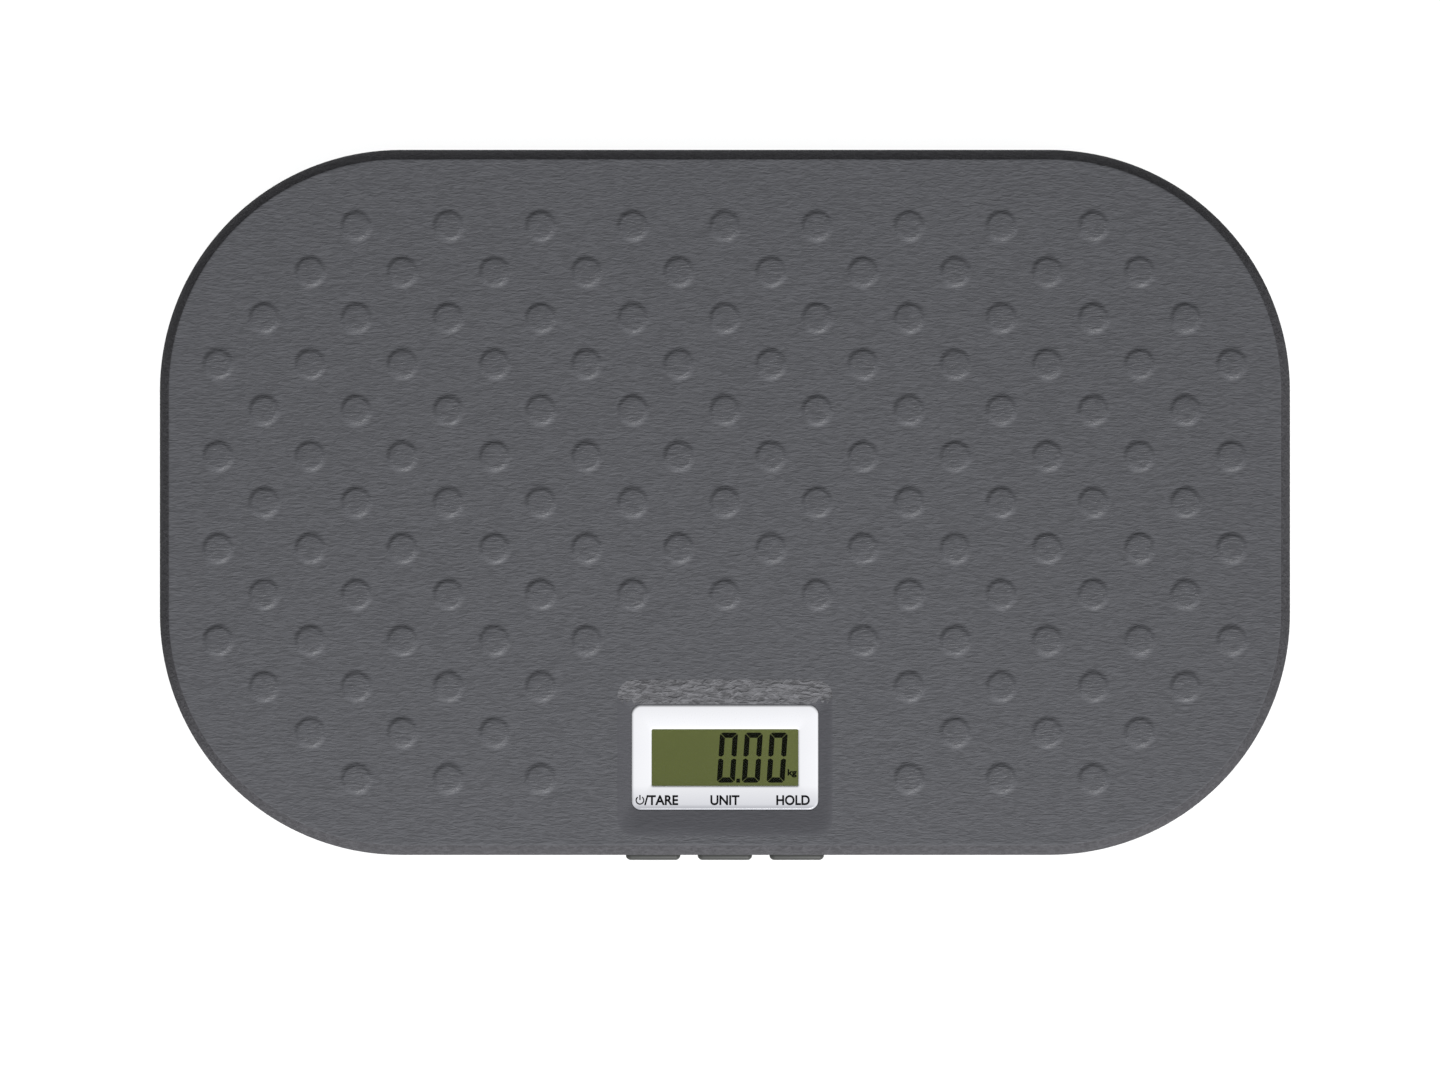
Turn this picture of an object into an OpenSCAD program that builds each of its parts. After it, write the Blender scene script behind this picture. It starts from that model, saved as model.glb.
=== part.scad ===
// Digital animal weighing scale: a flat platform on four load-cell feet, with a display in the deck,
// three keys in the front wall and a battery bay underneath.
// Millimetres. +Z is up, -Y is the front with the keys, and z = 0 is the floor.

/* [Body] */
// Width of the body, side to side
body_w = 460; // [440:5:480]
// Depth of the body, front to back, without the keys
body_d = 287; // [280:1:300]
// Corner radius of the outline seen from above
corner_r = 98; // [90:1:110]
// Height of the flat deck above the floor
deck_z = 39.2; // [38:0.1:40]

/* [Mat] */
// Thickness of the rubber mat on the deck
mat_t = 3; // [2.5:0.5:3.5]
// Width of the bevel round the mat's rim, seen from above
rim_w = 4.2; // [3:0.1:4.5]
// Height of that bevel
rim_h = 8; // [6:0.5:8]
// Distance between two nubs of one row
nub_pitch = 37.4; // [36:0.2:39]
// Radius of a nub at its foot
nub_r = 6; // [5:0.1:7]
// Radius of a nub's flat top
nub_top_r = 4.6; // [3:0.1:4.9]
// Height of a nub above the deck
nub_h = 0.8; // [0.6:0.1:2]

/* [Display] */
// Distance from the body's centre forward to the display's centre
display_y = 103.6; // [100:0.1:104]
// Width of the display bezel
bezel_w = 76; // [74:1:78]
// Depth of the display bezel, front to back
bezel_d = 43; // [42:1:44]
// Width of the window in the bezel
window_w = 59.5; // [56:0.5:60]
// Depth of the window in the bezel, front to back
window_d = 23; // [20:0.5:23]

/* [Keys] */
// Width of a key cap
key_w = 22.3; // [20:0.1:24]
// Height of a key cap
key_h = 8; // [7:0.5:8]
// How far a key cap stands out of the front wall
key_out = 2.4; // [1.5:0.1:2.5]
// Distance between two keys
key_pitch = 29.3; // [28:0.1:32]
// Travel of a key
key_travel = 1; // [0.6:0.1:1]

/* [Feet] */
// Distance from the body's centre to a foot, side to side
foot_x = 165; // [160:1:168]
// Distance from the body's centre to a foot, front to back
foot_y = 88; // [85:1:92]
// Outer radius of a foot
foot_r = 21.8; // [20:0.1:21.8]

/* [Hidden] */
CORNERS = [["front_left", -1, -1], ["front_right", 1, -1], ["rear_left", -1, 1], ["rear_right", 1, 1]];
KEYS = [["tare", -1], ["unit", 0], ["hold", 1]];
FOOT_PARTS = ["foot_pad_", "foot_cup_", "foot_clip_", "load_cell_", "cell_clamp_", "cell_wire_"];
KEY_PARTS = ["key_", "plunger_"];
$fn = 64;
eps = 0.01;
big = 600;

// Heights of the housing, from the floor up
tray_z = 7;                    // underside of the base tray
tray_t = 3;                    // thickness of its floor
tray_floor = tray_z + tray_t;
tray_wall_z = 15.5;            // top of the tray's wall, inside the cover's skirt
tray_bevel = 2;                // bevel round the tray's lower edge
skirt_z = 12;                  // lower edge of the cover's skirt
cover_z = deck_z - mat_t;      // top of the cover's plate, under the mat
plate_z = cover_z - 3;         // underside of the cover's plate
skirt_round = 0.8;             // soft lower edge of the skirt
wall_t = 2.5;                  // thickness of the cover's skirt
mat_lip = 0.8;                 // upright height of the mat's lip below its bevel
mat_lap = rim_w + 1.6;         // width of the lip, on a ledge of the cover
ledge_z = deck_z - rim_h - mat_lip;
ledge_t = 3;
tray_inset = wall_t + 0.3;     // the tray's wall inside the skirt
tray_wall_t = 2;
rib_z = 23;                    // lower edge of the cover's ribs
rib_t = 2;

// Display stack, from the mat's recess down to the board
recess_w = bezel_w + 9.5;      // recess round the bezel at deck level
recess_d = bezel_d + 17;
recess_foot = 1.4;             // mat left at the bezel's edge
bezel_r = 4;
gasket_t = 0.3;
bezel_z = cover_z + gasket_t;
bezel_t = 1.5;
hood_w = bezel_w - 4;
hood_d = bezel_d - 5;
hood_r = 2;
lens_t = 1.2;
lens_lap = 2;                  // glued border of the lens under the bezel
lens_z = bezel_z - 0.5;
lcd_w = 68;
lcd_d = 32;
lcd_t = 2.4;
lcd_z = lens_z - 0.1 - lcd_t;
board_t = 1.6;
hood_z = plate_z - 3;
board_z = hood_z - board_t;    // underside of the main board
board_w = 88;
board_d = 46;
board_screw = [40.5, 19.5];
fit_gap = 0.3;

// Keys and their switches, behind the front wall
key_z = 21;
key_r = 1.6;
key_hole_gap = 0.2;
flange_t = 1.2;
switch_w = 6;
switch_t = 3.6;
plunger_r = 1.6;
plunger_out = 1.5;
key_board_y = -body_d / 2 + 12.5; // front face of the key board, from the body's centre
key_board_w = 93;
key_board_h = 14;
guide_t = 3;
stem_y = key_board_y - switch_t - plunger_out;

// Feet and load cells
pad_r = foot_r - 1.3;
pad_t = 2.2;
cup_z = 1.5;
cup_top = 10;
cup_wall = 1.8;
post_r = 5;
stub_r = 2.5;
cell_w = 34;
cell_t = 1.8;
cell_z = 12.6;
cell_top = cell_z + cell_t;
clamp_w = 45;
clamp_z = 10.8;
clamp_screw = 19;
seat_w = 35;
seat_t = 2.5;
well_r = foot_r + 0.5;

// Battery bay, for four AA cells side by side
bay_y = 40;
bay_w = 60;
bay_d = 62;
bay_wall = 2;
bay_top = 25;
cell_r = 7.1;
cell_len = 49.2;
cell_nub = [2.6, 1.3];
cell_pitch = 15;
door_t = 2.6;
door_gap = 0.4;
hinge_r = 1;
hinge_y = bay_y + bay_d / 2 - 1.6;
hinge_z = tray_z + door_t / 2;
door_front = bay_y - bay_d / 2 + door_gap;
foam_t = 0.4;

// Fasteners
HOUSING_SCREWS = [for (s = [-1, 1]) each [[s * 210, 0], [s * 70, 0], [s * 90, 126], [s * 90, -126]]];
boss_z = 13;
boss_r = 3.6;

// Wires, as round numbers chosen by hand; the left side mirrors the right. Each ends at its header
wire_r = 1;
header_y = board_d / 2 - display_y + 0.1;
header_z = board_z - 2.7;
CELL_ROUTE_FRONT = [
    [154, -88, 15.8], [146, -88, 16.4], [134, -82, 17], [112, -72, 17.4],
    [72, -68, 18.6], [46, -67, 20.4], [32, header_y + 9, header_z - 1],
    [30, header_y + 3, header_z], [30, header_y, header_z]
];
CELL_ROUTE_REAR = [
    [154, 88, 15.8], [146, 88, 16.4], [132, 82, 17], [100, 60, 17], [74, 30, 17],
    [50, -12, 17], [34, -40, 18.4], [20, -62, 21], [16, header_y + 8, header_z - 0.8],
    [16, header_y + 3, header_z], [16, header_y, header_z]
];
BATTERY_ROUTE = [
    [22, 6.4, 18], [22, 3, 17.8], [20, -6, 17.6], [14, -24, 17.6], [6, -48, 18.6], [2.5, -66, 22],
    [2, header_y + 8, header_z - 0.8], [2, header_y + 3, header_z], [2, header_y, header_z]
];

// ---------------------------------------------------------------- shared shapes

// The row frame's origin is the middle of the whole footprint, keys included
module place() translate([0, key_out / 2, 0]) children();

module rounded_rect(w, d, r) {
    square([w - 2 * r, d], center = true);
    square([w, d - 2 * r], center = true);
    for (x = [-1, 1], y = [-1, 1])
        translate([x * (w / 2 - r), y * (d / 2 - r)]) circle(r);
}

module outline(inset = 0) rounded_rect(body_w - 2 * inset, body_d - 2 * inset, corner_r - inset);

module slab(z0, z1) translate([0, 0, z0]) linear_extrude(z1 - z0) children();

module box(size, at) translate(at) translate([-size[0] / 2, -size[1] / 2, 0]) cube(size);

module rod(r, z0, z1, at = [0, 0]) translate([at[0], at[1], z0]) cylinder(h = z1 - z0, r = r);

// Carries a profile round the body's outline. Its x is measured from a corner's centre, its y is z
module round_outline() {
    turns = [[1, 1, 0], [-1, 1, 90], [-1, -1, 180], [1, -1, 270]];
    for (t = turns)
        translate([t[0] * (body_w / 2 - corner_r), t[1] * (body_d / 2 - corner_r), 0])
            rotate(t[2]) rotate_extrude(angle = 90) children();
    for (a = [0, 180])
        rotate(a) translate([body_w / 2 - corner_r, 0, 0])
            rotate([90, 0, 0]) linear_extrude(body_d - 2 * corner_r, center = true) children();
    for (a = [90, 270])
        rotate(a) translate([body_d / 2 - corner_r, 0, 0])
            rotate([90, 0, 0]) linear_extrude(body_w - 2 * corner_r, center = true) children();
}

module at_display() translate([0, -display_y, 0]) children();

module at_bay() translate([0, bay_y, 0]) children();

module at_foot(c) translate([c[1] * foot_x, c[2] * foot_y, 0]) children();

module at_key(k) translate([k[1] * key_pitch, 0, key_z]) children();

// Turns a shape drawn in XY so that its extrusion runs from the front wall inwards, from y0 to y1
module inward(y0, y1) translate([0, y1, 0]) rotate([90, 0, 0]) linear_extrude(y1 - y0) children();

// A round tube swept along points, as one polyhedron; up is a direction it never runs along
module tube(points, r, up = [0, 0, 1], sides = 6) {
    n = len(points);
    function unit(v) = v / norm(v);
    function heading(i) = unit(points[min(i + 1, n - 1)] - points[max(i - 1, 0)]);
    rings = [for (i = [0:n - 1])
        let (side = unit(cross(heading(i), up)), top = cross(side, heading(i)))
        for (k = [0:sides - 1]) points[i] + r * (cos(k * 360 / sides) * side + sin(k * 360 / sides) * top)];
    walls = [for (i = [0:n - 2], k = [0:sides - 1])
        let (a = i * sides + k, b = i * sides + (k + 1) % sides)
        each [[a, b, b + sides], [a, b + sides, a + sides]]];
    ends = [[for (k = [sides - 1:-1:0]) k], [for (k = [0:sides - 1]) (n - 1) * sides + k]];
    polyhedron(points = rings, faces = concat(walls, ends));
}

// Points of a smooth curve through a route, with a few steps between each two of its points
function smooth(p, steps = 4) = concat(
    [for (i = [0:len(p) - 2], s = [0:steps - 1])
        let (a = p[max(i - 1, 0)], b = p[i], c = p[i + 1], d = p[min(i + 2, len(p) - 1)], t = s / steps)
        0.5 * (2 * b + (c - a) * t + (2 * a - 5 * b + 4 * c - d) * t * t
            + (3 * b - a - 3 * c + d) * t * t * t)],
    [p[len(p) - 1]]
);

// ---------------------------------------------------------------- mat

// Distance from a point of the deck inwards from the outline, up to corner_r
function edge_distance(p) = corner_r - norm([
    max(abs(p[0]) - body_w / 2 + corner_r, 0),
    max(abs(p[1]) - body_d / 2 + corner_r, 0)
]);

// Distance from a point of the deck to the display's recess
function recess_distance(p) = norm([
    max(abs(p[0]) - recess_w / 2, 0),
    max(abs(p[1] + display_y) - recess_d / 2, 0)
]);

// Rows of nubs, each shifted by half a pitch, wherever the rim and the display leave room
nub_edge_gap = 16;
nub_display_gap = 21;
NUBS = [for (row = [-8:8], col = [-8:8])
    let (p = [(col + (row % 2 == 0 ? 0 : 0.5)) * nub_pitch, row * nub_pitch / 2])
    if (edge_distance(p) >= nub_edge_gap && recess_distance(p) >= nub_display_gap) p];

// A straight-sided hopper from the deck down to the bezel, wider at the top
module recess_hopper() {
    z0 = cover_z + recess_foot;
    rise = deck_z - z0;
    over = 1 + 1 / rise;
    w0 = bezel_w / 2 + fit_gap;
    d0 = bezel_d / 2 + fit_gap;
    w1 = w0 + (recess_w / 2 - w0) * over;
    d1 = d0 + (recess_d / 2 - d0) * over;
    z1 = z0 + rise * over;
    intersection() {
        rotate([90, 0, 0]) linear_extrude(2 * recess_d, center = true)
            polygon([[-w0, z0], [w0, z0], [w1, z1], [-w1, z1]]);
        rotate([90, 0, 90]) linear_extrude(2 * recess_w, center = true)
            polygon([[-d0, z0], [d0, z0], [d1, z1], [-d1, z1]]);
    }
}

module platform_mat() color("#5b5c60") {
    band = 14;
    rim = [
        [corner_r - band, ledge_z], [corner_r, ledge_z], [corner_r, ledge_z + mat_lip],
        [corner_r - rim_w, deck_z], [corner_r - band, deck_z]
    ];
    difference() {
        union() {
            slab(ledge_z, deck_z) outline(band);
            round_outline() polygon(rim);
        }
        slab(ledge_z - 1, cover_z) outline(mat_lap);
        at_display() {
            recess_hopper();
            slab(ledge_z, deck_z) rounded_rect(bezel_w + 2 * fit_gap, bezel_d + 2 * fit_gap, bezel_r);
        }
    }
    for (p = NUBS)
        translate([p[0], p[1], deck_z - eps]) cylinder(h = nub_h + eps, r1 = nub_r, r2 = nub_top_r);
}

// ---------------------------------------------------------------- housing

module cell_seat(c) {
    notch = 7;
    difference() {
        union() {
            slab(cell_top, plate_z) difference() {
                square(seat_w, center = true);
                square(seat_w - 2 * seat_t, center = true);
            }
            for (x = [-1, 1], y = [-1, 1])
                rod(3.2, cell_top, plate_z, [x * clamp_screw, y * clamp_screw]);
        }
        for (x = [-1, 1], y = [-1, 1])
            rod(1.05, cell_top - 1, 24, [x * clamp_screw, y * clamp_screw]);
        box([seat_w, notch, 4], [-c[1] * seat_w / 2, 0, cell_top - eps]);
    }
}

module cover_ribs() difference() {
    end = mat_lap + 1;
    union() {
        for (y = [-45, 0, 45])
            box([body_w - 2 * end, rib_t, plate_z - rib_z], [0, y, rib_z]);
        for (x = [-120, -60, 60, 120])
            box([rib_t, body_d - 2 * end, plate_z - rib_z], [x, 0, rib_z]);
    }
    at_bay() box([bay_w + 12, bay_d + 12, bay_top + bay_wall + 0.5 - rib_z + 1], [0, 0, rib_z - 1]);
}

module key_board_guides() {
    slot = board_t + 0.2;
    for (s = [-1, 1]) difference() {
        box([guide_t, 6, plate_z - 13], [s * (key_board_w / 2 + 0.2), key_board_y + board_t / 2, 13]);
        box([guide_t, slot, 19], [s * (key_board_w / 2 - guide_t / 2 + 0.2), key_board_y + board_t / 2, 12.5]);
    }
}

module top_cover() color("#3b3c3f") difference() {
    union() {
        slab(skirt_z + skirt_round, ledge_z) difference() {
            outline();
            outline(wall_t);
        }
        round_outline() polygon([
            [corner_r - wall_t, skirt_z], [corner_r - skirt_round, skirt_z],
            [corner_r - 0.4 * skirt_round, skirt_z + 0.2 * skirt_round],
            [corner_r - 0.2 * skirt_round, skirt_z + 0.4 * skirt_round],
            [corner_r, skirt_z + skirt_round], [corner_r - wall_t, skirt_z + skirt_round]
        ]);
        slab(ledge_z - ledge_t, ledge_z) difference() {
            outline();
            outline(mat_lap + ledge_t);
        }
        slab(ledge_z, plate_z) difference() {
            outline(mat_lap);
            outline(mat_lap + ledge_t);
        }
        slab(plate_z, cover_z) outline(mat_lap);
        cover_ribs();
        key_board_guides();
        for (c = CORNERS) at_foot(c) cell_seat(c);
        for (p = HOUSING_SCREWS) rod(boss_r, boss_z, plate_z, p);
        at_display() for (x = [-1, 1], y = [-1, 1])
            rod(3, hood_z, plate_z, [x * board_screw[0], y * board_screw[1]]);
    }
    at_display() {
        slab(hood_z, deck_z) rounded_rect(hood_w + 2 * fit_gap, hood_d + 2 * fit_gap, hood_r + fit_gap);
        for (x = [-1, 1], y = [-1, 1])
            rod(1.05, hood_z - 1, cover_z - 1, [x * board_screw[0], y * board_screw[1]]);
    }
    for (p = HOUSING_SCREWS) rod(1.5, boss_z - 1, 26, p);
    for (k = KEYS) at_key(k) inward(-body_d / 2 - 1, -body_d / 2 + wall_t + 1)
        rounded_rect(key_w + 2 * key_hole_gap, key_h + 2 * key_hole_gap, key_r + key_hole_gap);
}

module base_tray() color("#2f3033") {
    r_tray = corner_r - tray_inset;
    band = 12;
    lower = [
        [r_tray - band, tray_z], [r_tray - tray_bevel, tray_z], [r_tray, tray_z + tray_bevel],
        [r_tray, tray_floor], [r_tray - band, tray_floor]
    ];
    difference() {
        union() {
            slab(tray_z, tray_floor) outline(tray_inset + band);
            round_outline() polygon(lower);
            slab(tray_floor, tray_wall_z) difference() {
                outline(tray_inset);
                outline(tray_inset + tray_wall_t);
            }
            for (p = HOUSING_SCREWS) rod(4.8, tray_floor, boss_z, p);
            for (y = [-45, 0]) box([300, 1.6, 2.4], [0, y, tray_floor]);
            for (x = [-110, -50, 50, 110]) box([1.6, 200, 2.4], [x, -8, tray_floor]);
            // Posts that hold the key board up in its guides
            for (x = [-36, 36]) box([6, 4, key_z - key_board_h / 2 - 0.1 - tray_floor],
                [x, key_board_y + board_t / 2, tray_floor]);
            at_bay() box([bay_w + 2 * bay_wall, bay_d + 2 * bay_wall, bay_top + bay_wall - tray_floor],
                [0, 0, tray_floor]);
        }
        at_bay() box([bay_w, bay_d, bay_top - tray_z + 1], [0, 0, tray_z - 1]);
        for (c = CORNERS) at_foot(c) rod(well_r, tray_z - 1, tray_floor + 3);
        for (p = HOUSING_SCREWS) {
            rod(1.7, tray_z - 1, boss_z + 1, p);
            rod(3.3, tray_z - 1, tray_floor, p);
        }
        for (s = [-1, 1])
            translate([s * (bay_w / 2 + 1), hinge_y, hinge_z])
                rotate([0, 90, 0]) cylinder(h = 3, r = hinge_r + 0.05, center = true);
        // Finger notch in front of the battery door
        box([20, 9, 1.8 + 1], [0, bay_y - bay_d / 2 - 4, tray_z - 1]);
    }
}

module battery_door() color("#2f3033") {
    door_w = bay_w - 2 * door_gap;
    lug = 2;
    difference() {
        translate([-door_w / 2, 0, 0]) rotate([90, 0, 90]) linear_extrude(door_w) {
            translate([door_front, tray_z]) square([hinge_y - door_front, door_t]);
            translate([hinge_y, hinge_z]) circle(door_t / 2);
        }
        // Grip grooves for a fingertip
        for (i = [0:3]) box([18, 0.8, 0.6 + 1], [0, door_front + 3 + i * 1.8, tray_z - 1]);
    }
    for (s = [-1, 1])
        translate([s * (door_w + lug) / 2, hinge_y, hinge_z])
            rotate([0, 90, 0]) cylinder(h = lug + eps, r = hinge_r, center = true);
    // Snap ridge that clears its keeper by a hair
    box([14, 0.25 + eps, 0.6], [0, door_front - 0.125, tray_z + 1.6]);
}

module door_foam() color("#202020") box([48, 50, foam_t], [0, bay_y, tray_z + door_t]);

// ---------------------------------------------------------------- display

module display_gasket() color("#1c1c1c") at_display() slab(cover_z, bezel_z) difference() {
    rounded_rect(bezel_w - 0.6, bezel_d - 0.6, bezel_r - 0.3);
    rounded_rect(hood_w + 2 * fit_gap, hood_d + 2 * fit_gap, hood_r + fit_gap);
}

module display_bezel() color("#e8e8ec") at_display() difference() {
    union() {
        slab(bezel_z, bezel_z + bezel_t) rounded_rect(bezel_w, bezel_d, bezel_r);
        slab(hood_z, bezel_z) rounded_rect(hood_w, hood_d, hood_r);
    }
    slab(bezel_z, deck_z) square([window_w, window_d], center = true);
    slab(hood_z - 1, lens_z + lens_t) square([window_w + 2 * lens_lap, window_d + 2 * lens_lap], center = true);
    slab(hood_z - 1, lens_z) square([lcd_w + 0.4, lcd_d + 0.4], center = true);
}

module display_lens() color("#dfe8e0", 0.3) at_display()
    box([window_w + 2 * lens_lap - 0.2, window_d + 2 * lens_lap - 0.2, lens_t], [0, 0, lens_z]);

module lcd_panel() color("#68733f") at_display() box([lcd_w, lcd_d, lcd_t], [0, 0, lcd_z]);

module zebra_strips() color("#d88a9a") at_display()
    for (s = [-1, 1]) box([62, 2.4, lcd_z - hood_z], [0, s * 14, hood_z]);

module lcd_backlight() color("#f2f2e6") at_display() box([60, 24, 2.6], [0, 0, hood_z + 0.3]);

module main_board() color("#2e6b3a") at_display() difference() {
    box([board_w, board_d, board_t], [0, 0, board_z]);
    for (x = [-1, 1], y = [-1, 1])
        rod(1.2, board_z - 1, hood_z + 1, [x * board_screw[0], y * board_screw[1]]);
}

module board_components() color("#2a2a2a") at_display() {
    rod(6, board_z - 1.4, board_z, [-6, 0]);
    rod(3, board_z - 5, board_z, [-26, 8]);
    rod(2.5, board_z - 4, board_z, [-26, -2]);
    box([9, 4, 3.2], [12, 9, board_z - 3.2]);
    for (i = [0:5]) box([2, 1.2, 0.9], [8 + 4 * i, -2, board_z - 0.9]);
    for (i = [0:4]) box([1.2, 2, 0.9], [8 + 4 * i, -8, board_z - 0.9]);
    box([5, 4, 1.6], [-17, -12, board_z - 1.6]);
}

// White headers along the board's rear edge: one for the batteries, four for the load cells
module board_connectors() color("#f0ede2") at_display()
    for (x = [-30, -16, 0, 16, 30]) box([8, 5, 5], [x, board_d / 2 - 2.5, board_z - 5]);

module buzzer() color("#1e1e1e") at_display() difference() {
    rod(6, board_z - 4, board_z, [32, -11]);
    rod(1, board_z - 5, board_z - 2, [32, -11]);
}

// ---------------------------------------------------------------- keys

module key_cap() color("#454a47") {
    wall_y = -body_d / 2;
    flange_y = wall_y + wall_t + 0.2;
    intersection() {
        inward(wall_y - key_out, flange_y) rounded_rect(key_w, key_h, key_r);
        translate([0, wall_y - key_out + 5, -key_h]) linear_extrude(2 * key_h) rounded_rect(key_w, 10, key_r);
    }
    inward(flange_y, flange_y + flange_t) square([key_w + 2.5, key_h + 2.4], center = true);
    inward(flange_y + flange_t, stem_y) square([5, 4], center = true);
}

module plunger() color("#202020") translate([0, stem_y + (plunger_out + 0.7) / 2, 0])
    rotate([90, 0, 0]) cylinder(h = plunger_out + 0.7, r = plunger_r, center = true);

module key_switches() color("#8a8d90") for (k = KEYS) at_key(k) difference() {
    inward(key_board_y - switch_t, key_board_y) square(switch_w, center = true);
    translate([0, key_board_y - switch_t, 0]) rotate([90, 0, 0])
        cylinder(h = 2 * (0.7 + key_travel + 0.3), r = plunger_r + 0.05, center = true);
}

module key_board() color("#2e6b3a")
    box([key_board_w - 0.6, board_t, key_board_h], [0, key_board_y + board_t / 2, key_z - key_board_h / 2]);

module key_ribbon() color("#d8d2c0") {
    t = 0.5;
    y0 = key_board_y + board_t;
    y1 = -display_y - board_d / 2 + 2;
    z0 = key_z - 6;
    translate([-6, 0, 0]) rotate([90, 0, 90]) linear_extrude(12)
        polygon([[y0, z0], [y1, z0], [y1, board_z], [y1 - t, board_z], [y1 - t, z0 + t], [y0, z0 + t]]);
}

// ---------------------------------------------------------------- feet and load cells

module foot_pad() color("#262626") difference() {
    rod(pad_r, 0, pad_t);
    for (r = [8, 14]) difference() {
        rod(r + 1.6, -1, 0.6);
        rod(r, -2, 1);
    }
}

module foot_cup() color("#3b3c3f") {
    floor_z = pad_t + 1.8;
    difference() {
        rod(foot_r, cup_z, cup_top);
        rod(pad_r + 0.1, cup_z - 1, pad_t);
        rod(foot_r - cup_wall, floor_z, cup_top + 1);
    }
    difference() {
        for (a = [0, 60, 120])
            rotate(a) box([2 * (foot_r - cup_wall + 0.5), 1.4, 5], [0, 0, floor_z - eps]);
        rod(post_r - 1, floor_z - 1, cup_top);
    }
    rod(post_r, floor_z - eps, cell_z);
    rod(stub_r, cell_z - eps, cell_top + 1.6);
}

module foot_clip() color("#c0c2c4") difference() {
    rod(4.6, cell_top + 0.1, cell_top + 0.9);
    rod(stub_r, cell_top - 1, cell_top + 2);
}

// Half-bridge cell: a stamped steel frame whose slotted tongue rests on the foot's post
module load_cell(c) color("#b9bcc0") slab(cell_z, cell_top) difference() {
    square(cell_w, center = true);
    circle(stub_r + 0.2);
    for (x = [-1, 1]) translate([x * 8 - 0.8, -12]) square([1.6, 20]);
    translate([-8.8, -12]) square([17.6, 1.6]);
}

module strain_gauges() color("#d9c77a") for (c = CORNERS) at_foot(c)
    for (x = [-1, 1]) box([4, 3, 0.15], [x * 3.5, 9.5, cell_top]);

module cell_clamp() color("#4a4b4e") difference() {
    slab(clamp_z, cell_top) rounded_rect(clamp_w, clamp_w, 4);
    slab(clamp_z - 1, cell_z) square(cell_w - 6, center = true);
    slab(cell_z, cell_top + 1) square(cell_w + 0.4, center = true);
    for (x = [-1, 1], y = [-1, 1]) {
        rod(1.1, clamp_z - 1, cell_top + 1, [x * clamp_screw, y * clamp_screw]);
        rod(2.3, clamp_z - 1, clamp_z + 1.3, [x * clamp_screw, y * clamp_screw]);
    }
}

module cell_wire(c) color("#a02020") {
    route = smooth(c[2] < 0 ? CELL_ROUTE_FRONT : CELL_ROUTE_REAR);
    mirrored = [for (p = route) [c[1] * p[0], p[1], p[2]]];
    tube(mirrored, wire_r);
}

// ---------------------------------------------------------------- batteries

// Cells lie along X and alternate; side is +1 where a cell's nub points to +X
module per_cell() for (i = [0:3]) translate([0, (i - 1.5) * cell_pitch, bay_top - 0.6 - cell_r])
    rotate([0, 0, i % 2 == 0 ? 0 : 180]) children();

plate_x = bay_w / 2 - 0.5;     // inner face of a contact plate
bump = 1.2;                    // pressed bump that meets a cell's nub
nub_tip = plate_x - bump;
cell_end = nub_tip - cell_nub[1] - cell_len; // the cell's flat end, towards its spring

module battery_cells() color("#c9a13b") at_bay() per_cell() {
    translate([cell_end, 0, 0]) rotate([0, 90, 0]) cylinder(h = cell_len, r = cell_r);
    translate([cell_end + cell_len - eps, 0, 0]) rotate([0, 90, 0])
        cylinder(h = cell_nub[1] + eps, r = cell_nub[0]);
}

module battery_contacts() color("#c8c8c4") {
    at_bay() {
        per_cell() {
            translate([plate_x, -5, -5]) cube([0.5, 10, 10]);
            translate([nub_tip, 0, 0]) rotate([0, 90, 0]) cylinder(h = bump + eps, r = 2);
            translate([-plate_x - 0.5, -5, -5]) cube([0.5, 10, 10]);
        }
        for (s = [-1, 1]) box([5, 0.5, 7], [s * 22, -bay_d / 2 - bay_wall - 0.25, 14.5]);
    }
}

// Conical coil springs, from the contact plate to each cell's flat end
module battery_springs() color("#c8c8c4") at_bay() per_cell() {
    wire = 0.4;
    turns = 3;
    steps = 12;
    x0 = -plate_x + wire;
    x1 = cell_end - wire;
    coil = [for (i = [0:turns * steps])
        let (t = i / (turns * steps), r = 4.6 - 2.2 * t, a = 360 * i / steps)
        [x0 + (x1 - x0) * t, r * cos(a), r * sin(a)]];
    tube(coil, wire, [1, 0, 0]);
}

module battery_wires() color("#303030") for (s = [-1, 1])
    tube([for (p = smooth(BATTERY_ROUTE)) [s * p[0], p[1], p[2]]], 0.8);

// ---------------------------------------------------------------- fasteners

module screw(head_r, head_h, shank_r, length) {
    difference() {
        rod(head_r, 0, head_h);
        for (a = [0, 90]) rotate(a) box([head_r * 1.2, head_h * 0.3, head_h * 0.6 + 1], [0, 0, -1]);
    }
    rod(shank_r, head_h - eps, head_h + length);
}

module housing_screws() color("#8e9092") for (p = HOUSING_SCREWS)
    translate([p[0], p[1], tray_floor - 2.2]) screw(2.9, 2.2, 1.45, 14);

module board_screws() color("#b8a060") at_display() for (x = [-1, 1], y = [-1, 1])
    translate([x * board_screw[0], y * board_screw[1], board_z - 1.3]) screw(2.2, 1.3, 1, 5);

module clamp_screws() color("#8e9092") for (c = CORNERS) at_foot(c) for (x = [-1, 1], y = [-1, 1])
    translate([x * clamp_screw, y * clamp_screw, clamp_z]) screw(2.2, 1.3, 1, 10);

// ---------------------------------------------------------------- nodes

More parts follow.
